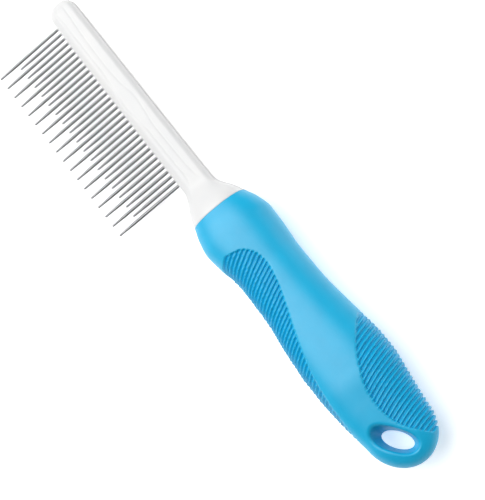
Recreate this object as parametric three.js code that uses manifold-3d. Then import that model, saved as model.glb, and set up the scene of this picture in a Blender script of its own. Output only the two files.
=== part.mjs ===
// Pet grooming comb: a stiff plastic core with a row of steel teeth, and a soft moulded grip.
//
// Units are millimetres. While it is being drawn, the comb lies with
//   X along its length, 0 at the tip of the bar,
//   Y across it, 0 at the edge of the bar that carries the teeth (they point along -Y),
//   Z through its thickness, 0 on the mid-plane, about which both faces mirror each other.
// At the end the whole comb is moved so that the origin is under the middle of its box.

import * as THREE from 'three';
import { mergeVertices } from 'three/addons/utils/BufferGeometryUtils.js';
import Module from 'manifold-3d';

const { degToRad, lerp } = THREE.MathUtils;
const wasm = await Module();
wasm.setup();

// ---------------------------------------------------------------- driving dimensions

// Tooth row: long and short pins take turns, and it starts and ends with a long one.
const TOOTH_COUNT = 35;
const TOOTH_PITCH = 2.1;
const FIRST_TOOTH_X = 7.2;
const LONG_REACH = 27.2;
const SHORT_REACH = 19.3;
const TOOTH_RADIUS = 0.6;
const TOOTH_TIP_RADIUS = 0.4;
const TOOTH_TAPER = 7;
const TOOTH_SIDES = 12;

// Blind holes in the bar that hold the tooth roots.
const SEAT_DEPTH = 6;
const SEAT_CLEARANCE = 0.12;

// Bar and neck of the core.
const BAR_HALF_THICKNESS = 3.6;
const BAR_EDGE_HALF_THICKNESS = 2.7;
const BAR_BACK_RADIUS = 2.3;
const BAR_BEVEL = 2.6;
const BAR_EDGE_CHAMFER = 0.8;
const BAR_TIP_LENGTH = 6;
const BAR_TIP_POWER = 2.4;
const NECK_START_X = 82;
const SHOULDER_X = 94.7;

// Silhouette of the core in plan, as [x, tooth side y, back y].
const CORE_OUTLINE = [
  [0, 0.3, 10.7],
  [20, 0, 10.8],
  [NECK_START_X, 0, 11.3],
  [85, -0.8, 11.6],
  [87.5, -2, 12.8],
  [91, -3.8, 15.2],
  [SHOULDER_X, -4.9, 17],
];

// Tang of the core, hidden inside the grip.
const TANG_END_X = 179;
const TANG_HALF_WIDTH = 6;
const TANG_HALF_THICKNESS = 4;
const TANG_CENTRE_Y = 7.4;
const TANG_TAPER = 0.75;
const TANG_SIDES = 16;

// Soft grip, moulded over the tang and flush with the core at its shoulder.
const MOULD_GAP = 0.3;
const GRIP_POWER = 2.4;
const GRIP_SIDES = 28;
const GRIP_END_X = 203.2;
const GRIP_END_START_X = 190;
const GRIP_END_POWER = 2;

// Silhouette of the grip, as [x, tooth side y, back y, half thickness].
const GRIP_OUTLINE = [
  [SHOULDER_X, -4.9, 17, 8.4],
  [99, -6.3, 19, 9.3],
  [104.5, -7.2, 20.3, 9.8],
  [111, -6.4, 20.2, 9.6],
  [121, -4.9, 19.6, 9.1],
  [133, -5, 19.9, 9],
  [148, -6.5, 21.6, 9.5],
  [160, -7.2, 23.3, 9.8],
  [167, -7.1, 23.5, 9.8],
  [177, -6.4, 22.4, 8.7],
  [GRIP_END_START_X, -4.5, 21, 7],
  [GRIP_END_X, -3.6, 20.4, 6.2],
];

// Hang hole: an oval through the end of the grip, with a flared rim on both faces.
const HOLE_CENTRE = { x: 192.3, y: 5.5 };
const HOLE_HALF_LENGTH = 5.9;
const HOLE_HALF_WIDTH = 3.1;
const HOLE_TILT = degToRad(36);
const HOLE_FLARE = 2.2;
const HOLE_SIDES = 28;

// ---------------------------------------------------------------- finishes

const WHITE_PLASTIC = { color: 0xf2f3f3, roughness: 0.35, metalness: 0 };
const BLUE_SOFT_TOUCH = { color: 0x2fa9dd, roughness: 0.6, metalness: 0 };
const STEEL = { color: 0xb9bcbf, roughness: 0.25, metalness: 1 };

// ---------------------------------------------------------------- geometry helpers

// Smooth curve through hand-placed knots: a cubic with no overshoot between them.
function smoothCurve(knots, column) {
  const xs = knots.map((knot) => knot[0]);
  const ys = knots.map((knot) => knot[column]);
  const rise = (i) => (ys[i + 1] - ys[i]) / (xs[i + 1] - xs[i]);
  const slopeAt = (i) => {
    if (i === 0) return rise(0);
    if (i === xs.length - 1) return rise(i - 1);
    const before = rise(i - 1);
    const after = rise(i);
    return before * after <= 0 ? 0 : (2 * before * after) / (before + after);
  };
  return (x) => {
    const k = xs.slice(1, -1).filter((knot) => knot <= x).length;
    const span = xs[k + 1] - xs[k];
    const t = (x - xs[k]) / span;
    const fromHere = (1 + 2 * t) * (1 - t) ** 2 * ys[k] + t * (1 - t) ** 2 * span * slopeAt(k);
    const fromNext = t * t * (3 - 2 * t) * ys[k + 1] + t * t * (t - 1) * span * slopeAt(k + 1);
    return fromHere + fromNext;
  };
}

const signedPower = (value, power) => Math.sign(value) * Math.abs(value) ** power;

// How much of the full section is left at t of the way into a rounded end.
const roundedEnd = (t, power) => (1 - Math.min(1, Math.max(0, t)) ** power) ** (1 / power);

// Closed skin through rings of equal length, with a flat cap on the first and last ring.
function loft(rings) {
  const size = rings[0].length;
  const positions = rings.flat().flatMap((point) => [point.x, point.y, point.z]);
  const index = [];
  for (let r = 0; r < rings.length - 1; r += 1) {
    for (let i = 0; i < size; i += 1) {
      const a = r * size + i;
      const b = r * size + ((i + 1) % size);
      index.push(a, b, b + size, a, b + size, a + size);
    }
  }
  const lastRing = (rings.length - 1) * size;
  for (let i = 1; i < size - 1; i += 1) {
    index.push(0, i + 1, i);
    index.push(lastRing, lastRing + i, lastRing + i + 1);
  }
  const geometry = new THREE.BufferGeometry();
  geometry.setAttribute('position', new THREE.Float32BufferAttribute(positions, 3));
  geometry.setIndex(index);
  return geometry;
}

// Superellipse ring in the plane X = x, anticlockwise as seen from +X.
function ovalRing(x, centreY, halfWidth, halfThickness, sides) {
  const ring = [];
  for (let i = 0; i < sides; i += 1) {
    const angle = (2 * Math.PI * i) / sides;
    const y = centreY + halfWidth * signedPower(Math.cos(angle), 2 / GRIP_POWER);
    const z = halfThickness * signedPower(Math.sin(angle), 2 / GRIP_POWER);
    ring.push(new THREE.Vector3(x, y, z));
  }
  return ring;
}

function toSolid(geometry) {
  const bare = geometry.clone();
  bare.deleteAttribute('normal');
  bare.deleteAttribute('uv');
  const merged = mergeVertices(bare, 1e-4);
  const corners = Array.from(merged.index.array);
  const triangles = [];
  for (let i = 0; i < corners.length; i += 3) {
    const [a, b, c] = corners.slice(i, i + 3);
    if (a !== b && b !== c && c !== a) triangles.push(a, b, c);
  }
  return new wasm.Manifold(new wasm.Mesh({
    numProp: 3,
    vertProperties: new Float32Array(merged.attributes.position.array),
    triVerts: new Uint32Array(triangles),
  }));
}

function toGeometry(solid) {
  const mesh = solid.getMesh();
  const geometry = new THREE.BufferGeometry();
  geometry.setAttribute('position', new THREE.BufferAttribute(mesh.vertProperties, 3));
  geometry.setIndex(new THREE.BufferAttribute(mesh.triVerts, 1));
  geometry.computeVertexNormals();
  return geometry;
}

function makeMesh(name, geometry, finish) {
  const mesh = new THREE.Mesh(geometry, new THREE.MeshStandardMaterial(finish));
  mesh.name = name;
  return mesh;
}

// ---------------------------------------------------------------- core

const coreToothSide = smoothCurve(CORE_OUTLINE, 1);
const coreBack = smoothCurve(CORE_OUTLINE, 2);
const gripToothSide = smoothCurve(GRIP_OUTLINE, 1);
const gripBack = smoothCurve(GRIP_OUTLINE, 2);
const gripHalfThickness = smoothCurve(GRIP_OUTLINE, 3);

// Upper half of the bar's section, from the middle of the tooth edge to the middle of the back:
// a narrow tooth edge, a bevel, a flat face and a full round back.
function barProfile(low, high) {
  const flatStart = low + BAR_BEVEL;
  const flatEnd = high - BAR_BACK_RADIUS;
  const onBack = (angle) => [
    flatEnd + BAR_BACK_RADIUS * Math.cos(angle),
    BAR_HALF_THICKNESS * Math.sin(angle),
  ];
  return [
    [low, 0],
    [low, BAR_EDGE_HALF_THICKNESS - BAR_EDGE_CHAMFER],
    [low + BAR_EDGE_CHAMFER, BAR_EDGE_HALF_THICKNESS],
    [flatStart, BAR_HALF_THICKNESS],
    [(flatStart + flatEnd) / 2, BAR_HALF_THICKNESS],
    [flatEnd, BAR_HALF_THICKNESS],
    onBack(degToRad(60)),
    onBack(degToRad(30)),
    [high, 0],
  ];
}

// The same points moved onto the oval section that the core has at its shoulder.
function shoulderProfile(low, high) {
  const angles = [180, 160, 140, 118, 90, 62, 42, 20, 0].map(degToRad);
  return angles.map((angle) => [
    (low + high) / 2 + ((high - low) / 2) * signedPower(Math.cos(angle), 2 / GRIP_POWER),
    gripHalfThickness(SHOULDER_X) * signedPower(Math.sin(angle), 2 / GRIP_POWER),
  ]);
}

function coreRing(x) {
  const low = coreToothSide(x);
  const high = coreBack(x);
  const middle = (low + high) / 2;
  const end = roundedEnd(1 - x / BAR_TIP_LENGTH, BAR_TIP_POWER);
  const swell = THREE.MathUtils.smoothstep(x, NECK_START_X, SHOULDER_X);
  const shoulder = shoulderProfile(low, high);
  const upper = barProfile(low, high).map(([y, z], i) => [
    middle + (lerp(y, shoulder[i][0], swell) - middle) * end,
    lerp(z, shoulder[i][1], swell) * end,
  ]);
  const lower = upper.slice(1, -1).map(([y, z]) => [y, -z]).reverse();
  return [...upper, ...lower].reverse().map(([y, z]) => new THREE.Vector3(x, y, z));
}

// The tang, or the pocket for it when it is grown by the moulding gap.
function makeTang(grow) {
  const section = (x, scale) => ovalRing(
    x,
    TANG_CENTRE_Y,
    TANG_HALF_WIDTH * scale + grow,
    TANG_HALF_THICKNESS * scale + grow,
    TANG_SIDES,
  );
  return toSolid(loft([section(SHOULDER_X - 1, 1), section(TANG_END_X + grow, TANG_TAPER)]));
}

function makeCore() {
  const tipStations = [8, 25, 42, 60, 90].map(degToRad).map((a) => BAR_TIP_LENGTH * (1 - Math.cos(a)));
  const neckStations = [NECK_START_X, 84, 86, 88, 90, 92, SHOULDER_X];
  const outside = toSolid(loft([...tipStations, ...neckStations].map(coreRing)));
  let core = outside.add(makeTang(0));

  for (let i = 0; i < TOOTH_COUNT; i += 1) {
    const seat = new THREE.CylinderGeometry(
      TOOTH_RADIUS + SEAT_CLEARANCE,
      TOOTH_RADIUS + SEAT_CLEARANCE,
      2 * SEAT_DEPTH,
      TOOTH_SIDES,
    );
    seat.translate(FIRST_TOOTH_X + i * TOOTH_PITCH, 0, 0);
    core = core.subtract(toSolid(seat));
  }
  return makeMesh('comb_body', toGeometry(core), WHITE_PLASTIC);
}

// ---------------------------------------------------------------- grip

function gripRing(x) {
  const into = (x - GRIP_END_START_X) / (GRIP_END_X - GRIP_END_START_X);
  const end = roundedEnd(into, GRIP_END_POWER);
  const centre = (gripToothSide(x) + gripBack(x)) / 2;
  const halfWidth = ((gripBack(x) - gripToothSide(x)) / 2) * end;
  return ovalRing(x, centre, halfWidth, gripHalfThickness(x) * end, GRIP_SIDES);
}

// Oval ring of the hang hole at height z, grown outwards by `grow`.
function holeRing(z, grow) {
  const ring = [];
  for (let i = 0; i < HOLE_SIDES; i += 1) {
    const angle = (2 * Math.PI * i) / HOLE_SIDES;
    const along = (HOLE_HALF_LENGTH + grow) * Math.cos(angle);
    const across = (HOLE_HALF_WIDTH + grow) * Math.sin(angle);
    const x = HOLE_CENTRE.x + along * Math.cos(HOLE_TILT) - across * Math.sin(HOLE_TILT);
    const y = HOLE_CENTRE.y + along * Math.sin(HOLE_TILT) + across * Math.cos(HOLE_TILT);
    ring.push(new THREE.Vector3(x, y, z));
  }
  return ring;
}

// The cutter that opens the hole: straight in the middle, opening out like a trumpet at each face.
function makeHoleCutter() {
  const surface = gripHalfThickness(HOLE_CENTRE.x);
  const steps = [0, 30, 60, 90].map(degToRad);
  const flare = steps.map((angle) => ({
    z: surface - HOLE_FLARE * (1 - Math.sin(angle)),
    grow: HOLE_FLARE * (1 - Math.cos(angle)),
  }));
  const over = { z: surface + 2, grow: HOLE_FLARE * 1.3 };
  const upper = [...flare, over];
  const lower = [...upper].reverse().map(({ z, grow }) => ({ z: -z, grow }));
  return loft([...lower, ...upper].map(({ z, grow }) => holeRing(z, grow)));
}

function makeGrip() {
  const stations = [SHOULDER_X + MOULD_GAP];
  for (let x = 98; x < GRIP_END_START_X; x += 4) stations.push(x);
  for (let a = 0; a <= 84; a += 14) {
    stations.push(lerp(GRIP_END_START_X, GRIP_END_X, Math.sin(degToRad(a))));
  }
  const outside = toSolid(loft(stations.map(gripRing)));
  const grip = outside.subtract(makeTang(MOULD_GAP)).subtract(toSolid(makeHoleCutter()));
  return makeMesh('grip', toGeometry(grip), BLUE_SOFT_TOUCH);
}

// ---------------------------------------------------------------- teeth

// A round pin, turned about its own axis: straight shank, slow taper and a domed tip.
function toothGeometry(reach) {
  const root = SEAT_DEPTH - MOULD_GAP;
  const dome = TOOTH_TIP_RADIUS * Math.SQRT1_2;
  const profile = [
    [0, root],
    [TOOTH_RADIUS, root],
    [TOOTH_RADIUS, TOOTH_TAPER - reach],
    [TOOTH_TIP_RADIUS, TOOTH_TIP_RADIUS - reach],
    [dome, TOOTH_TIP_RADIUS - dome - reach],
    [0, -reach],
  ];
  const points = profile.map(([radius, y]) => new THREE.Vector2(radius, y)).reverse();
  return new THREE.LatheGeometry(points, TOOTH_SIDES);
}

function makeTeeth() {
  const teeth = [];
  for (let i = 0; i < TOOTH_COUNT; i += 1) {
    const long = i % 2 === 0;
    const number = String(Math.floor(i / 2) + 1).padStart(2, '0');
    const name = `${long ? 'tooth_long' : 'tooth_short'}_${number}`;
    const geometry = toGeometry(toSolid(toothGeometry(long ? LONG_REACH : SHORT_REACH)));
    const tooth = makeMesh(name, geometry, STEEL);
    tooth.position.x = FIRST_TOOTH_X + i * TOOTH_PITCH;
    teeth.push(tooth);
  }
  return teeth;
}

// ---------------------------------------------------------------- assembly

const comb = new THREE.Group();
comb.name = 'grooming_comb';
comb.add(makeCore(), makeGrip(), ...makeTeeth());

const box = new THREE.Box3().setFromObject(comb);
const centre = box.getCenter(new THREE.Vector3());
comb.position.set(-centre.x, -centre.y, -box.min.z);

export default comb;
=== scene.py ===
"""Looks of a pet grooming comb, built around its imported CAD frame.

Shapes are drawn in millimetres in the comb's own axes and then moved to the frame:
X runs along the comb, 0 at the tip of the bar; Y across it, 0 at the edge of the bar that
carries the teeth, which point along -Y; Z through it, 0 on the middle plane, front face +Z.
"""

import math

import bmesh
import bpy
import numpy as np
from mathutils import Matrix, Vector


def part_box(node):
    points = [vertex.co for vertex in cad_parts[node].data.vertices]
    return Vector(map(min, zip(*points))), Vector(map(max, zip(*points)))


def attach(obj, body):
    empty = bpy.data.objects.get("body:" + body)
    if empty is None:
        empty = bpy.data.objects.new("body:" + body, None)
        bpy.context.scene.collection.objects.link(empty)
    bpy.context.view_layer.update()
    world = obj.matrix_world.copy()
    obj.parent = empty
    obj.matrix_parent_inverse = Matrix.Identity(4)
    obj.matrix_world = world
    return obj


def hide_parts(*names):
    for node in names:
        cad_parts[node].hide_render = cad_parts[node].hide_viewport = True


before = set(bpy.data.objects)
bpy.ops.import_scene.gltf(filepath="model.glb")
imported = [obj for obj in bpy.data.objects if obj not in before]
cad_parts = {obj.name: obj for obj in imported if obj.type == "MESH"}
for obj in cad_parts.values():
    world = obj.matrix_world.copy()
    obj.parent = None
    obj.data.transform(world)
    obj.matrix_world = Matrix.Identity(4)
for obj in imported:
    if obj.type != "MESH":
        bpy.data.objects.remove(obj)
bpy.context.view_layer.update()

MM = 0.001

# ---------------------------------------------------------------- driving sizes, as in the CAD

TOOTH_COUNT = 35
TOOTH_PITCH = 2.1
FIRST_TOOTH_X = 7.2
LONG_REACH = 27.2
SHORT_REACH = 19.3
TOOTH_RADIUS = 0.6
TOOTH_TIP_RADIUS = 0.4
TOOTH_TAPER = 7
TOOTH_ROOT = 5.7

BAR_HALF_THICKNESS = 3.6
BAR_EDGE_HALF_THICKNESS = 2.7
BAR_BACK_RADIUS = 2.3
BAR_BEVEL = 2.6
BAR_EDGE_CHAMFER = 0.8
BAR_TIP_LENGTH = 6
BAR_TIP_POWER = 2.4
NECK_START_X = 82
SHOULDER_X = 94.7

# Silhouette of the core in plan, as [x, tooth side y, back y].
CORE_OUTLINE = [
    [0, 0.3, 10.7],
    [20, 0, 10.8],
    [NECK_START_X, 0, 11.3],
    [85, -0.8, 11.6],
    [87.5, -2, 12.8],
    [91, -3.8, 15.2],
    [SHOULDER_X, -4.9, 17],
]

TANG_END_X = 179
TANG_HALF_WIDTH = 6
TANG_HALF_THICKNESS = 4
TANG_CENTRE_Y = 7.4
TANG_TAPER = 0.75
TANG_GAP = 0.3

GRIP_POWER = 2.4
GRIP_END_X = 203.2
GRIP_END_START_X = 190

# Silhouette of the grip, as [x, tooth side y, back y, half thickness].
GRIP_OUTLINE = [
    [SHOULDER_X, -4.9, 17, 8.4],
    [99, -6.3, 19, 9.3],
    [104.5, -7.2, 20.3, 9.8],
    [111, -6.4, 20.2, 9.6],
    [121, -4.9, 19.6, 9.1],
    [133, -5, 19.9, 9],
    [148, -6.5, 21.6, 9.5],
    [160, -7.2, 23.3, 9.8],
    [167, -7.1, 23.5, 9.8],
    [177, -6.4, 22.4, 8.7],
    [GRIP_END_START_X, -4.5, 21, 7],
    [GRIP_END_X, -3.6, 20.4, 6.2],
]

HOLE_CENTRE = (192.3, 5.5)
HOLE_HALF_LENGTH = 5.9
HOLE_HALF_WIDTH = 3.1
HOLE_TILT = math.radians(36)

# ---------------------------------------------------------------- details only the looks have

# The hang hole is a funnel: its wall stands HOLE_WAIST inside the CAD's on the middle plane, and
# opens towards both faces by a taper in mm per mm, at the oval's sides and at its ends. It meets
# the skin in a rim of radius HOLE_RIM.
HOLE_RIM = 0.9
HOLE_WAIST = 0.35
HOLE_SIDE_TAPER = 0.2
HOLE_END_TAPER = 0.5

# Ribs moulded into both edges of the grip. Each panel covers the skin between its edge and a
# line drawn on the two faces, given as [x, y]. The grooves are shaped by a cosine wave raised to
# RIB_WAVE_POWER, and fade out over RIB_END_FADE at the panel's line.
RIB_DEPTH = 1.15
RIB_END_FADE = 0.45
RIB_WAVE_POWER = 0.8

# The grooves of a panel are numbered along the grip, from the first to the last in its GROOVES.
# Number 0 crosses x = START_X at the arc length RIB_START_ARC from the panel's edge. LEAN slants
# the grooves and CURVE bends them. FINGER_LEAST_LEAN keeps a square root away from zero.
RIB_START_ARC = 10
FINGER_START_X = 110.62
FINGER_LEAN = 0.42
FINGER_PITCH = 1.5
FINGER_PITCH_GROWTH = 0.0037
FINGER_GROOVES = (0, 43)
FINGER_LEAST_LEAN = -20
PALM_START_X = 155.36
PALM_LEAN = 0.17
PALM_CURVE = 0.0075
PALM_PITCH = 1.66
PALM_GROOVES = (-3, 26)
FINGER_PANEL = [
    [108.6, -5],
    [109.97, -0.3],
    [111.2, 4.2],
    [113.3, 6.7],
    [116, 8.4],
    [120.4, 9.1],
    [127.3, 8],
    [134.5, 5.7],
    [145.7, 1.6],
    [153, -0.7],
    [162, -2.9],
    [174, -4.4],
    [188, -5],
]
PALM_PANEL = [
    [149.5, 23],
    [154.9, 19.1],
    [161.4, 14.4],
    [169.3, 10.4],
    [174.5, 8.6],
    [180, 8],
    [185.6, 8.7],
    [191.2, 11.3],
    [195.9, 15.1],
    [199.5, 18.6],
]

# Fine line engraved on both faces of the bar, as [x, lower y, upper y].
ENGRAVED_LINES = [
    [1.6, 3.6, 6.9],
    [6, 3.5, 6.8],
    [17, 3.7, 6.1],
    [30, 3.8, 5.9],
    [37, 3.3, 6.3],
    [46, 2.2, 7.6],
    [51.7, 2.9, 7.1],
    [57.5, 3.9, 6.5],
    [70, 4.1, 6.7],
    [78, 4.3, 7.1],
    [84, 2.6, 8.6],
]
ENGRAVED_DEPTH = 0.14
ENGRAVED_WIDTH = 0.3
ENGRAVED_END_RADIUS = 2.2
ENGRAVED_FADE = 6

# A low flat spine runs along the back of the core, with a fine groove on each side of it. Its
# sides are steps that spread over SPINE_STEP, and it fades out over SPINE_FADE at the shoulder.
SPINE_HALF_WIDTH = 0.65
SPINE_HEIGHT = 0.36
SPINE_STEP = 0.34
SPINE_GROOVE_WIDTH = 0.5
SPINE_GROOVE_DEPTH = 0.28
SPINE_FADE = 0.8

# Points round half of a core section: over the face, over the groove and step, over the spine.
# The close ones start GROOVE_REACH groove widths before the step's middle, and end STEP_REACH
# step widths after it.
SECTION_POINTS = (60, 14, 7)
GROOVE_REACH = 1.1
STEP_REACH = 0.6

# How far before each corner of the bar's section its rounding starts.
BAR_CORNER_CUT = 0.45

# How finely the core, its tang and the pins are divided.
TANG_SIDES = 32
BAR_RING_STEP = 0.45
TIP_RINGS = 30
FIRST_TIP_ANGLE = 3
NECK_RINGS = 40
PIN_SIDES = 24
PIN_SHAFT_RINGS = 8
PIN_TAPER_RINGS = 14
PIN_DOME_RINGS = 7
PIN_DOME_ANGLE = 80

# Where the grid that the grip's skin is found on starts and ends, across and through the comb.
GRIP_GRID_Y = (-9, 25.5)
GRIP_GRID_Z = (-11.07, 11.2)

# Limits on each step that moves a point onto the grip's skin.
LEAST_SLOPE_SQUARED = 0.05
LONGEST_MOVE = 0.3


# ---------------------------------------------------------------- frame and curves

tooth_low, tooth_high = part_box("tooth_long_01")
ORIGIN = np.array([
    (tooth_low.x + tooth_high.x) / 2 - FIRST_TOOTH_X * MM,
    tooth_low.y + LONG_REACH * MM,
    (tooth_low.z + tooth_high.z) / 2,
])


def to_frame(points):
    """Points in the comb's own millimetres, as metres in the frame."""
    return ORIGIN + np.asarray(points, float) * MM


def smooth_curve(knots, column):
    """The CAD's curve through the given knots: a cubic with no overshoot between them."""
    xs = np.array([knot[0] for knot in knots], float)
    ys = np.array([knot[column] for knot in knots], float)
    rise = np.diff(ys) / np.diff(xs)
    before, after = rise[:-1], rise[1:]
    together = np.where(before * after > 0, before + after, 1)
    inner = np.where(before * after > 0, 2 * before * after / together, 0)
    slopes = np.concatenate([rise[:1], inner, rise[-1:]])

    def curve(x):
        k = np.clip(np.searchsorted(xs, x, side="right") - 1, 0, len(xs) - 2)
        span = xs[k + 1] - xs[k]
        t = np.clip((x - xs[k]) / span, 0, 1)
        here = (1 + 2 * t) * (1 - t) ** 2 * ys[k] + t * (1 - t) ** 2 * span * slopes[k]
        there = t * t * (3 - 2 * t) * ys[k + 1] + t * t * (t - 1) * span * slopes[k + 1]
        return here + there

    return curve


def signed_power(value, power):
    return np.sign(value) * np.abs(value) ** power


def smooth_step(value):
    t = np.clip(value, 0, 1)
    return t * t * (3 - 2 * t)


core_tooth_side = smooth_curve(CORE_OUTLINE, 1)
core_back = smooth_curve(CORE_OUTLINE, 2)
grip_tooth_side = smooth_curve(GRIP_OUTLINE, 1)
grip_back = smooth_curve(GRIP_OUTLINE, 2)
grip_half_thickness = smooth_curve(GRIP_OUTLINE, 3)
finger_line = smooth_curve(FINGER_PANEL, 1)
palm_line = smooth_curve(PALM_PANEL, 1)
engraved_low = smooth_curve(ENGRAVED_LINES, 1)
engraved_high = smooth_curve(ENGRAVED_LINES, 2)


# ---------------------------------------------------------------- mesh helpers

def add_piece(name, mesh, material, slot, *nodes):
    """Puts a finished mesh in the scene as a piece of the comb that stands for CAD nodes."""
    piece = bpy.data.objects.new(name, mesh)
    bpy.context.scene.collection.objects.link(piece)
    if not mesh.materials:
        mesh.materials.append(material)
    mesh.shade_smooth()
    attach(piece, "root")
    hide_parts(*nodes)
    return piece


def oval_ring(x, centre_y, half_width, half_thickness, sides):
    """Points round a superellipse in the plane X = x."""
    angle = np.linspace(0, 2 * math.pi, sides, endpoint=False)
    y = centre_y + half_width * signed_power(np.cos(angle), 2 / GRIP_POWER)
    z = half_thickness * signed_power(np.sin(angle), 2 / GRIP_POWER)
    return np.column_stack([np.full(sides, x), y, z])


def close_shoulder(bm, grow):
    """Closes the open end at the shoulder with a flat face that the tang, or its pocket, crosses."""
    rim = [edge for edge in bm.edges if edge.is_boundary]
    near = oval_ring(
        SHOULDER_X, TANG_CENTRE_Y, TANG_HALF_WIDTH + grow, TANG_HALF_THICKNESS + grow, TANG_SIDES
    )
    far = oval_ring(
        TANG_END_X + grow,
        TANG_CENTRE_Y,
        TANG_HALF_WIDTH * TANG_TAPER + grow,
        TANG_HALF_THICKNESS * TANG_TAPER + grow,
        TANG_SIDES,
    )
    mouth = [bm.verts.new(point) for point in to_frame(near)]
    end = [bm.verts.new(point) for point in to_frame(far)]
    edges = [bm.edges.new((mouth[i - 1], mouth[i])) for i in range(TANG_SIDES)]
    bmesh.ops.triangle_fill(bm, edges=rim + edges, use_beauty=True)
    for i in range(TANG_SIDES):
        bm.faces.new((mouth[i - 1], mouth[i], end[i], end[i - 1]))
    bm.faces.new(end)
    bmesh.ops.recalc_face_normals(bm, faces=bm.faces)


# ---------------------------------------------------------------- grip: a skin found on a grid

ARC_STATIONS = np.linspace(SHOULDER_X, GRIP_END_X, 110)
ARC_ANGLES = np.linspace(0, math.pi, 180)


def grip_section(x):
    """Centre y, half width and half thickness of the grip's section at x."""
    tooth_side = grip_tooth_side(x)
    back = grip_back(x)
    return (tooth_side + back) / 2, (back - tooth_side) / 2, grip_half_thickness(x)


def arc_table():
    """Arc length round half a section, from the tooth side to the back, at stations and angles."""
    _, half_width, half_thickness = grip_section(ARC_STATIONS[:, None])
    y = -half_width * signed_power(np.cos(ARC_ANGLES), 2 / GRIP_POWER)
    z = half_thickness * np.sin(ARC_ANGLES) ** (2 / GRIP_POWER)
    steps = np.hypot(np.diff(y, axis=1), np.diff(z, axis=1))
    return np.concatenate([np.zeros((len(ARC_STATIONS), 1)), np.cumsum(steps, axis=1)], axis=1)


ARC_LENGTHS = arc_table()


def arc_from_edges(x, across, through):
    """Arc lengths from a point on the skin to the tooth-side edge and to the back edge."""
    angle = np.arctan2(through ** (GRIP_POWER / 2), -signed_power(across, GRIP_POWER / 2))
    station = (x - ARC_STATIONS[0]) / (ARC_STATIONS[1] - ARC_STATIONS[0])
    column = angle / (ARC_ANGLES[1] - ARC_ANGLES[0])
    i = np.clip(station.astype(int), 0, len(ARC_STATIONS) - 2)
    j = np.clip(column.astype(int), 0, len(ARC_ANGLES) - 2)
    s = np.clip(station - i, 0, 1)
    t = np.clip(column - j, 0, 1)
    here = ARC_LENGTHS[i, j] * (1 - t) + ARC_LENGTHS[i, j + 1] * t
    there = ARC_LENGTHS[i + 1, j] * (1 - t) + ARC_LENGTHS[i + 1, j + 1] * t
    total = ARC_LENGTHS[i, -1] * (1 - s) + ARC_LENGTHS[i + 1, -1] * s
    arc = here * (1 - s) + there * s
    return arc, total - arc


def groove(count, first, last):
    """1 in the middle of each groove and 0 on the ribs, for a count that grows by 1 per groove."""
    wave = (0.5 + 0.5 * np.cos(2 * math.pi * count)) ** RIB_WAVE_POWER
    return np.where((count > first - 0.5) & (count < last + 0.5), wave, 0)


def rib_grooves(x, y, across, through):
    """Depth that the rib grooves are cut below the skin."""
    from_teeth, from_back = arc_from_edges(x, across, through)

    # Finger side: the grooves lean one way and their pitch grows slowly along the grip.
    lean = x + FINGER_LEAN * (from_teeth - RIB_START_ARC) - FINGER_START_X
    pitch, growth = FINGER_PITCH, FINGER_PITCH_GROWTH
    lean = np.maximum(lean, FINGER_LEAST_LEAN)
    count = (np.sqrt(pitch ** 2 + 4 * growth * lean) - pitch) / (2 * growth)
    inside = smooth_step((finger_line(x) - y) / RIB_END_FADE)
    fingers = groove(count, *FINGER_GROOVES) * inside

    # Palm side: the grooves curve, at a steady pitch.
    bend = PALM_CURVE * (from_back ** 2 - RIB_START_ARC ** 2)
    lean = x - PALM_LEAN * (from_back - RIB_START_ARC) - bend - PALM_START_X
    inside = smooth_step((y - palm_line(x)) / RIB_END_FADE)
    palm = groove(lean / PALM_PITCH, *PALM_GROOVES) * inside
    return RIB_DEPTH * np.maximum(fingers, palm)


def hole_distance(x, y, z):
    """Distance in plan from the wall of the hang hole, a funnel that narrows to the mid-plane."""
    dx = x - HOLE_CENTRE[0]
    dy = y - HOLE_CENTRE[1]
    along = (dx * math.cos(HOLE_TILT) + dy * math.sin(HOLE_TILT)) / HOLE_HALF_LENGTH
    across = (dy * math.cos(HOLE_TILT) - dx * math.sin(HOLE_TILT)) / HOLE_HALF_WIDTH
    size = np.maximum(np.hypot(along, across), 1e-6)
    slope = np.hypot(along / HOLE_HALF_LENGTH, across / HOLE_HALF_WIDTH) / size
    at_end = (along / size) ** 2
    taper = HOLE_SIDE_TAPER + (HOLE_END_TAPER - HOLE_SIDE_TAPER) * at_end
    return (size - 1) / slope + HOLE_WAIST - taper * np.abs(z)


def grip_field(x, y, z):
    """About the distance from the grip's skin in millimetres, below 0 inside the grip."""
    centre, half_width, half_thickness = grip_section(x)
    across = (y - centre) / half_width
    through = np.abs(z) / half_thickness
    power = GRIP_POWER
    oval = np.maximum((np.abs(across) ** power + through ** power) ** (1 / power), 1e-3)
    end_length = GRIP_END_X - GRIP_END_START_X
    into_end = np.maximum(x - GRIP_END_START_X, 0) / end_length
    size = np.hypot(oval, into_end)
    rise_y = (np.abs(across) / oval) ** (power - 1) / half_width
    rise_z = (through / oval) ** (power - 1) / half_thickness
    slope = np.hypot(oval * np.hypot(rise_y, rise_z), into_end / end_length) / size
    skin = (size - 1) / slope + rib_grooves(x, y, across, through)

    # The hang hole meets the skin in a rounded rim.
    rim_skin = skin + HOLE_RIM
    rim_hole = HOLE_RIM - hole_distance(x, y, z)
    rounded = np.hypot(np.maximum(rim_skin, 0), np.maximum(rim_hole, 0)) - HOLE_RIM
    return rounded + np.minimum(np.maximum(rim_skin, rim_hole), 0)


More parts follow.
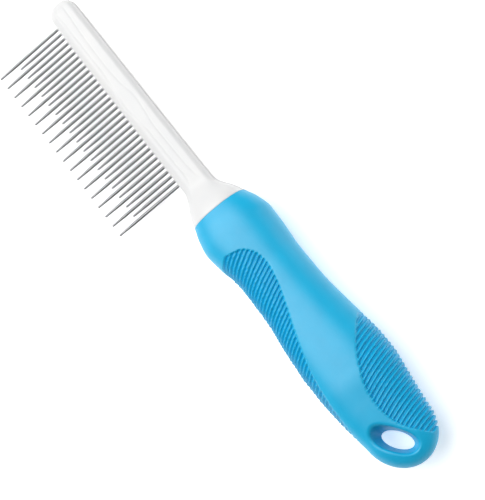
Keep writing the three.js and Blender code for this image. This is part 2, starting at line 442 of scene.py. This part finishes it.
def surface_net(values, axes):
    """Quads round the zero level of values on a grid: one corner in each cell that it crosses."""
    inside = values < 0
    cells = tuple(n - 1 for n in values.shape)

    def corner(array, shift):
        return array[tuple(slice(s, s + n) for s, n in zip(shift, cells))]

    shifts = [(i, j, k) for i in (0, 1) for j in (0, 1) for k in (0, 1)]
    filled = sum(corner(inside, shift).astype(np.int8) for shift in shifts)
    crossed = (filled > 0) & (filled < 8)
    number = np.full(cells, -1)
    number[crossed] = np.arange(crossed.sum())

    total = np.zeros((crossed.sum(), 3))
    hits = np.zeros(crossed.sum())
    for axis in range(3):
        for shift in shifts:
            if shift[axis]:
                continue
            ahead = tuple(s + (a == axis) for a, s in enumerate(shift))
            here = corner(values, shift)[crossed]
            there = corner(values, ahead)[crossed]
            cut = (here < 0) != (there < 0)
            place = np.tile(np.array(shift, float), (len(here), 1))
            place[:, axis] += np.where(cut, here / np.where(cut, here - there, 1), 0)
            total[cut] += place[cut]
            hits[cut] += 1
    spot = np.argwhere(crossed) + total / hits[:, None]
    points = np.column_stack([
        np.interp(spot[:, a], np.arange(len(axes[a])), axes[a]) for a in range(3)
    ])

    quads = []
    for axis in range(3):
        one, two = (axis + 1) % 3, (axis + 2) % 3
        low = [slice(None)] * 3
        high = [slice(None)] * 3
        low[axis] = slice(0, -1)
        high[axis] = slice(1, None)
        flips = inside[tuple(low)] != inside[tuple(high)]
        at = np.argwhere(flips)
        keep = (at[:, one] > 0) & (at[:, two] > 0)
        keep &= (at[:, one] < cells[one]) & (at[:, two] < cells[two])
        at = at[keep]
        ring = []
        for back_one, back_two in ((1, 1), (0, 1), (0, 0), (1, 0)):
            cell = at.copy()
            cell[:, one] -= back_one
            cell[:, two] -= back_two
            ring.append(number[tuple(cell.T)])
        ring = np.column_stack(ring)
        outward = inside[tuple(at.T)]
        ring[~outward] = ring[~outward][:, ::-1]
        quads.append(ring)
    return points, np.concatenate(quads)


def field_slope(points, step=0.02):
    """Gradient of the grip's field at points."""
    slope = np.empty_like(points)
    for axis in range(3):
        nudge = np.zeros(3)
        nudge[axis] = step
        slope[:, axis] = grip_field(*(points + nudge).T) - grip_field(*(points - nudge).T)
    return slope / (2 * step)


def settle_on_skin(points, fixed_x, rounds):
    """Moves points onto the skin; those marked in fixed_x stay in the plane of the shoulder."""
    for _ in range(rounds):
        slope = field_slope(points)
        slope[fixed_x, 0] = 0
        steep = np.maximum((slope ** 2).sum(axis=1), LEAST_SLOPE_SQUARED)
        move = grip_field(*points.T) / steep
        points = points - np.clip(move, -LONGEST_MOVE, LONGEST_MOVE)[:, None] * slope
    return points


def even_out(points, quads, fixed):
    """One pass that moves each free point half way to the middle of its neighbours."""
    ends = np.concatenate([quads[:, [0, 1]], quads[:, [1, 2]], quads[:, [2, 3]], quads[:, [3, 0]]])
    ends = np.concatenate([ends, ends[:, ::-1]])
    count = np.bincount(ends[:, 0], minlength=len(points))
    middle = np.column_stack([
        np.bincount(ends[:, 0], weights=points[ends[:, 1], a], minlength=len(points)) / count
        for a in range(3)
    ])
    return np.where(fixed[:, None], points, (points + middle) / 2)


def make_grip(material):
    step_x = 0.25
    step_yz = 0.52
    x = np.arange(SHOULDER_X - step_x / 2, GRIP_END_X + 2 * step_x, step_x)
    y = np.arange(*GRIP_GRID_Y, step_yz)
    z = np.arange(*GRIP_GRID_Z, step_yz)
    values = grip_field(*np.meshgrid(x, y, z, indexing="ij"))
    points, quads = surface_net(values, (x, y, z))
    at_shoulder = points[:, 0] < x[1]
    points[at_shoulder, 0] = SHOULDER_X
    points = settle_on_skin(points, at_shoulder, 2)
    for _ in range(3):
        points = even_out(points, quads, at_shoulder)
        points = settle_on_skin(points, at_shoulder, 1)
    points = settle_on_skin(points, at_shoulder, 1)

    mesh = bpy.data.meshes.new("grip_moulding")
    mesh.from_pydata(to_frame(points).tolist(), [], quads.tolist())
    bm = bmesh.new()
    bm.from_mesh(mesh)
    close_shoulder(bm, TANG_GAP)
    bm.to_mesh(mesh)
    bm.free()
    return add_piece("grip_moulding", mesh, material, "blue_soft_touch", "grip")


# ---------------------------------------------------------------- core

def soften(path, cut, steps=6):
    """An open path with each inner corner replaced by a short curve that starts `cut` before it."""
    path = np.asarray(path, float)
    t = np.linspace(0, 1, steps)[:, None]
    smooth = [path[:1]]
    for before, corner, after in zip(path[:-2], path[1:-1], path[2:]):
        back = before - corner
        ahead = after - corner
        start = corner + back * min(0.5, cut / np.hypot(*back))
        end = corner + ahead * min(0.5, cut / np.hypot(*ahead))
        smooth.append((1 - t) ** 2 * start + 2 * t * (1 - t) * corner + t * t * end)
    smooth.append(path[-1:])
    return np.concatenate(smooth)


def bar_profile(low, high):
    """Half of the bar's section, from the middle of the tooth edge round the face to the back."""
    flat_end = high - BAR_BACK_RADIUS
    edge = soften([
        [low, 0],
        [low, BAR_EDGE_HALF_THICKNESS - BAR_EDGE_CHAMFER],
        [low + BAR_EDGE_CHAMFER, BAR_EDGE_HALF_THICKNESS],
        [low + BAR_BEVEL, BAR_HALF_THICKNESS],
        [flat_end, BAR_HALF_THICKNESS],
    ], BAR_CORNER_CUT)
    angle = np.linspace(math.pi / 2, 0, 40)[1:]
    back = [flat_end + BAR_BACK_RADIUS * np.cos(angle), BAR_HALF_THICKNESS * np.sin(angle)]
    return np.concatenate([edge, np.column_stack(back)])


def shoulder_profile(low, high):
    """Half of the oval section that the core has at its shoulder, in the same direction."""
    angle = np.linspace(math.pi, 0, 200)
    y = (low + high) / 2 + (high - low) / 2 * signed_power(np.cos(angle), 2 / GRIP_POWER)
    z = grip_half_thickness(SHOULDER_X) * np.sin(angle) ** (2 / GRIP_POWER)
    return np.column_stack([y, z])


def spaced(path):
    """The path as a fixed number of points, set closely where the spine's step is.

    Also gives each point's distance along the path from the middle of the step.
    """
    arc = np.concatenate([[0], np.cumsum(np.hypot(*np.diff(path, axis=0).T))])
    tail = len(path) // 2
    step = np.interp(-SPINE_HALF_WIDTH, -path[tail:, 1], arc[tail:])
    groove_start = step - GROOVE_REACH * SPINE_GROOVE_WIDTH
    step_end = step + STEP_REACH * SPINE_STEP
    on_face, on_step, on_spine = SECTION_POINTS
    at = np.concatenate([
        np.linspace(0, groove_start, on_face, endpoint=False),
        np.linspace(groove_start, step_end, on_step, endpoint=False),
        np.linspace(step_end, arc[-1], on_spine),
    ])
    spots = np.column_stack([np.interp(at, arc, path[:, 0]), np.interp(at, arc, path[:, 1])])
    return spots, at - step


def engraved_depth(x, y):
    """Depth of the engraved outline at a point of the bar's face."""
    start = ENGRAVED_LINES[0][0]
    centre = (engraved_low(x) + engraved_high(x)) / 2
    half = (engraved_high(x) - engraved_low(x)) / 2
    into_end = np.clip((start + ENGRAVED_END_RADIUS - x) / ENGRAVED_END_RADIUS, 0, 3)
    away = (np.hypot((y - centre) / half, into_end) - 1) * np.minimum(half, ENGRAVED_END_RADIUS)
    fade = smooth_step((ENGRAVED_LINES[-1][0] - x) / ENGRAVED_FADE)
    return ENGRAVED_DEPTH * fade * np.exp(-(away / ENGRAVED_WIDTH) ** 2)


def below_spine(x, front, from_step):
    """How far the back's rounding lies below the spine, at points of the front half section."""
    beside = 1 - smooth_step(from_step / SPINE_STEP + 0.5)
    top = front[:, 1].max()
    turned = smooth_step((top - front[:, 1]) / (top - SPINE_HALF_WIDTH))
    on_back = front[:, 0] > front[:, 0].mean()
    fade = smooth_step((SHOULDER_X - x) / SPINE_FADE)
    along_groove = np.clip(from_step / SPINE_GROOVE_WIDTH + 0.5, -0.5, 0.5)
    groove_depth = SPINE_GROOVE_DEPTH * np.cos(math.pi * along_groove) ** 2
    return fade * (SPINE_HEIGHT * beside + groove_depth) * turned * on_back


def core_ring(x):
    """The core's section at x as a closed ring of points, with its relief."""
    low = core_tooth_side(x)
    high = core_back(x)
    swell = smooth_step((x - NECK_START_X) / (SHOULDER_X - NECK_START_X))
    into_tip = np.clip(1 - x / BAR_TIP_LENGTH, 0, 1)
    end = (1 - into_tip ** BAR_TIP_POWER) ** (1 / BAR_TIP_POWER)

    flat, from_step = spaced(bar_profile(low, high))
    oval, _ = spaced(shoulder_profile(low, high))
    front = flat + (oval - flat) * swell
    front[:, 0] -= below_spine(x, front, from_step)

    ring = np.concatenate([front, front[-2:0:-1] * [1, -1]])
    ring[:, 1] -= np.sign(ring[:, 1]) * engraved_depth(x, ring[:, 0])
    middle = (low + high) / 2
    y = middle + (ring[:, 0] - middle) * end
    return np.column_stack([np.full(len(ring), x), y, ring[:, 1] * end])


def make_core(material):
    tip_angles = np.radians(np.linspace(FIRST_TIP_ANGLE, 90, TIP_RINGS))
    tip = BAR_TIP_LENGTH * (1 - np.cos(tip_angles))
    bar = np.arange(BAR_TIP_LENGTH + BAR_RING_STEP, NECK_START_X, BAR_RING_STEP)
    neck = np.linspace(NECK_START_X, SHOULDER_X, NECK_RINGS)
    rings = np.array([core_ring(x) for x in np.concatenate([tip, bar, neck])])
    count, sides = rings.shape[:2]
    near = np.arange(count - 1)[:, None] * sides
    side = np.arange(sides)
    following = (side + 1) % sides
    far = near + sides
    quads = np.stack([near + side, far + side, far + following, near + following], 2)

    mesh = bpy.data.meshes.new("core_moulding")
    mesh.from_pydata(to_frame(rings.reshape(-1, 3)).tolist(), [], quads.reshape(-1, 4).tolist())
    bm = bmesh.new()
    bm.from_mesh(mesh)
    bm.verts.ensure_lookup_table()
    first_ring = [bm.verts[i] for i in range(sides)]
    nose = bm.verts.new(to_frame(rings[0].mean(axis=0)))
    for i in range(sides):
        bm.faces.new((nose, first_ring[i - 1], first_ring[i]))
    close_shoulder(bm, 0)
    bm.to_mesh(mesh)
    bm.free()
    return add_piece("core_moulding", mesh, material, "white_plastic", "comb_body")


# ---------------------------------------------------------------- teeth

def pin_mesh(name, reach):
    """A round pin along -Y with its origin on the bar's edge: straight, then tapered, then domed."""
    taper = np.linspace(0, 1, PIN_TAPER_RINGS)
    dome = np.radians(np.linspace(0, PIN_DOME_ANGLE, PIN_DOME_RINGS))
    taper_y = TOOTH_TAPER - reach - taper * (TOOTH_TAPER - TOOTH_TIP_RADIUS)
    taper_radius = TOOTH_RADIUS + (TOOTH_TIP_RADIUS - TOOTH_RADIUS) * smooth_step(taper)
    along = np.concatenate([
        [TOOTH_ROOT, 0],
        np.linspace(-1, TOOTH_TAPER - reach, PIN_SHAFT_RINGS)[:-1],
        taper_y[:-1],
        TOOTH_TIP_RADIUS - reach - TOOTH_TIP_RADIUS * np.sin(dome),
    ])
    radius = np.concatenate([
        np.full(PIN_SHAFT_RINGS + 1, TOOTH_RADIUS),
        taper_radius[:-1],
        TOOTH_TIP_RADIUS * np.cos(dome),
    ])
    angle = np.linspace(0, 2 * math.pi, PIN_SIDES, endpoint=False)
    bm = bmesh.new()
    rings = []
    for y, r in zip(along, radius):
        points = [(r * math.cos(a) * MM, y * MM, r * math.sin(a) * MM) for a in angle]
        rings.append([bm.verts.new(point) for point in points])
    for near, far in zip(rings, rings[1:]):
        for i in range(PIN_SIDES):
            bm.faces.new((near[i - 1], near[i], far[i], far[i - 1]))
    tip = bm.verts.new((0, -reach * MM, 0))
    for i in range(PIN_SIDES):
        bm.faces.new((rings[-1][i - 1], rings[-1][i], tip))
    bm.faces.new(rings[0])
    bmesh.ops.recalc_face_normals(bm, faces=bm.faces)
    mesh = bpy.data.meshes.new(name)
    bm.to_mesh(mesh)
    bm.free()
    return mesh


def make_teeth(material):
    """A pin at each CAD tooth: long and short ones take turns."""
    kinds = [
        ("long", pin_mesh("pin_long", LONG_REACH)),
        ("short", pin_mesh("pin_short", SHORT_REACH)),
    ]
    for i in range(TOOTH_COUNT):
        kind, mesh = kinds[i % 2]
        number = f"{kind}_{i // 2 + 1:02d}"
        pin = add_piece(f"pin_{number}", mesh, material, "steel", f"tooth_{number}")
        pin.location = to_frame([FIRST_TOOTH_X + i * TOOTH_PITCH, 0, 0])


# ---------------------------------------------------------------- materials

def new_material(name, **settings):
    """A Principled material; settings are its sockets' names with _ for a space."""
    material = bpy.data.materials.new(name)
    material.use_nodes = True
    shader = material.node_tree.nodes["Principled BSDF"]
    for socket, value in settings.items():
        shader.inputs[socket.replace("_", " ")].default_value = value
    return material, material.node_tree, shader


def noise(tree, size, detail=2, stretch=(1, 1, 1)):
    """Noise with features about `size` millimetres across, stretched along the object's axes."""
    where = tree.nodes.new("ShaderNodeTexCoord")
    scale = tree.nodes.new("ShaderNodeMapping")
    scale.inputs["Scale"].default_value = [1 / (size * MM * s) for s in stretch]
    texture = tree.nodes.new("ShaderNodeTexNoise")
    texture.inputs["Scale"].default_value = 1
    texture.inputs["Detail"].default_value = detail
    tree.links.new(where.outputs["Object"], scale.inputs["Vector"])
    tree.links.new(scale.outputs["Vector"], texture.inputs["Vector"])
    return texture.outputs["Fac"]


def ramp(tree, value, low, high, start=0.3, end=0.7):
    """A ramp from colour or number low to high as value goes from start to end."""
    node = tree.nodes.new("ShaderNodeValToRGB")
    grey = not hasattr(low, "__len__")
    for element, at, colour in zip(node.color_ramp.elements, (start, end), (low, high)):
        element.position = at
        element.color = (colour,) * 3 + (1,) if grey else (*colour, 1)
    tree.links.new(value, node.inputs["Fac"])
    return node.outputs["Color"]


def bump(tree, shader, *layers):
    """Bump from several (height, depth in millimetres) layers, the first one lowest."""
    normal = None
    for height, depth in layers:
        node = tree.nodes.new("ShaderNodeBump")
        node.inputs["Strength"].default_value = 1
        node.inputs["Distance"].default_value = depth * MM
        tree.links.new(height, node.inputs["Height"])
        if normal:
            tree.links.new(normal, node.inputs["Normal"])
        normal = node.outputs["Normal"]
    tree.links.new(normal, shader.inputs["Normal"])


def white_plastic():
    """Glossy white moulded plastic: faint waviness, fine surface grain and a slight warm mottle."""
    material, tree, shader = new_material("white_plastic", Specular_IOR_Level=0.5)
    mottle = noise(tree, 9, 3)
    tint = ramp(tree, mottle, (0.78, 0.785, 0.79), (0.81, 0.81, 0.805))
    tree.links.new(tint, shader.inputs["Base Color"])
    gloss = ramp(tree, noise(tree, 1.5, 4), 0.3, 0.4)
    tree.links.new(gloss, shader.inputs["Roughness"])
    bump(tree, shader, (noise(tree, 4, 2, (2, 1, 1)), 0.02), (noise(tree, 0.25, 3), 0.002))
    return material


def blue_soft_touch():
    """Satin blue rubber: a pebbled grain, fine pores and small shifts of colour."""
    material, tree, shader = new_material("blue_soft_touch", Specular_IOR_Level=0.68)
    tint = ramp(tree, noise(tree, 6, 4), (0.001, 0.44, 0.75), (0.002, 0.47, 0.79))
    tree.links.new(tint, shader.inputs["Base Color"])
    gloss = ramp(tree, noise(tree, 0.8, 4), 0.38, 0.46)
    tree.links.new(gloss, shader.inputs["Roughness"])
    bump(tree, shader, (noise(tree, 0.3, 2), 0.012), (noise(tree, 0.09, 2), 0.004))
    return material


def steel():
    """Polished steel wire with faint marks drawn along each pin."""
    material, tree, shader = new_material("steel", Metallic=1.0)
    drawn = noise(tree, 0.12, 3, (1, 60, 1))
    tint = ramp(tree, drawn, (0.21, 0.214, 0.22), (0.28, 0.284, 0.288))
    tree.links.new(tint, shader.inputs["Base Color"])
    gloss = ramp(tree, drawn, 0.09, 0.15)
    tree.links.new(gloss, shader.inputs["Roughness"])
    bump(tree, shader, (drawn, 0.002))
    return material


def floor_material():
    """Pale card with a faint fibre grain, lit a little from below like a light table."""
    material, tree, shader = new_material("floor_card", Roughness=0.8, Specular_IOR_Level=0.2)
    tint = ramp(tree, noise(tree, 2, 4), (0.88, 0.88, 0.88), (0.91, 0.91, 0.91))
    tree.links.new(tint, shader.inputs["Base Color"])
    shader.inputs["Emission Color"].default_value = (1, 1, 1, 1)
    shader.inputs["Emission Strength"].default_value = 0.5
    return material


# ---------------------------------------------------------------- stage, lights and camera

FLOOR_HALF_SIZE = 3
ROOM_STRENGTH = 0.06


def make_floor():
    bm = bmesh.new()
    bmesh.ops.create_grid(bm, x_segments=8, y_segments=8, size=FLOOR_HALF_SIZE)
    mesh = bpy.data.meshes.new("floor")
    bm.to_mesh(mesh)
    bm.free()
    mesh.materials.append(floor_material())
    floor = bpy.data.objects.new("floor", mesh)
    bpy.context.scene.collection.objects.link(floor)


def soft_light(name, towards, distance, width, depth, radiance):
    """A soft box that shines at the comb from a direction, its width lying along the comb."""
    light = bpy.data.lights.new(name, "AREA")
    light.shape = "RECTANGLE"
    light.size = width
    light.size_y = depth
    light.energy = radiance * math.pi * width * depth
    lamp = bpy.data.objects.new(name, light)
    bpy.context.scene.collection.objects.link(lamp)
    away = Vector(towards).normalized()
    across = away.cross(Vector((1, 0, 0))).normalized()
    axes = Matrix((across.cross(away), across, away)).transposed()
    lamp.matrix_world = Matrix.Translation(away * distance) @ axes.to_4x4()


def make_lights():
    """A large box overhead, low ones beyond the tip, the teeth and the back, and a dim room."""
    soft_light("key", (-0.27, -0.27, 0.92), distance=1, width=0.9, depth=1, radiance=3.6)
    soft_light("tip", (-0.8, -0.1, 0.6), distance=1, width=0.8, depth=0.8, radiance=1.1)
    soft_light("side", (-0.45, -0.85, 0.28), distance=1, width=0.9, depth=0.9, radiance=0.5)
    soft_light("back", (0.2, 0.92, 0.3), distance=1, width=0.8, depth=0.8, radiance=1.6)
    world = bpy.data.worlds.new("studio")
    world.use_nodes = True
    background = world.node_tree.nodes["Background"]
    background.inputs["Color"].default_value = (1, 1, 1, 1)
    background.inputs["Strength"].default_value = ROOM_STRENGTH
    bpy.context.scene.world = world


# The photograph looks down on the front face, turned in the picture and tilted a little.
CAMERA_TARGET = (42.9, 0, 0)
CAMERA_OFFSET = (-43.1, -49.6, 600)
CAMERA_LENS = 124.9
PICTURE_ANGLE = math.radians(-52.4)
TURN, HANDLE_NEARER, BACK_NEARER = (math.radians(a) for a in (0.36, -11.9, 9.0))


def make_camera():
    """The camera's axes come from turning the comb: spin in the picture, then two small tilts."""
    tilt = Matrix.Rotation(TURN, 3, "Z") @ Matrix.Rotation(HANDLE_NEARER, 3, "Y")
    tilt = tilt @ Matrix.Rotation(BACK_NEARER, 3, "X")
    turned = Matrix.Rotation(PICTURE_ANGLE, 3, "Z") @ tilt
    camera = bpy.data.objects.new("camera", bpy.data.cameras.new("camera"))
    camera.data.lens = CAMERA_LENS
    camera.data.sensor_width = 36
    camera.data.clip_start = 0.01
    bpy.context.scene.collection.objects.link(camera)
    back = turned.transposed()
    offset = Vector((CAMERA_OFFSET[0], -CAMERA_OFFSET[1], -CAMERA_OFFSET[2]))
    place = Vector(CAMERA_TARGET) - back @ offset
    camera.matrix_world = Matrix.Translation(to_frame(place)) @ back.to_4x4()
    bpy.context.scene.camera = camera


# ---------------------------------------------------------------- the scene

make_camera()
make_lights()
make_floor()
make_core(white_plastic())
make_grip(blue_soft_touch())
make_teeth(steel())
bpy.context.scene.view_settings.view_transform = "Standard"
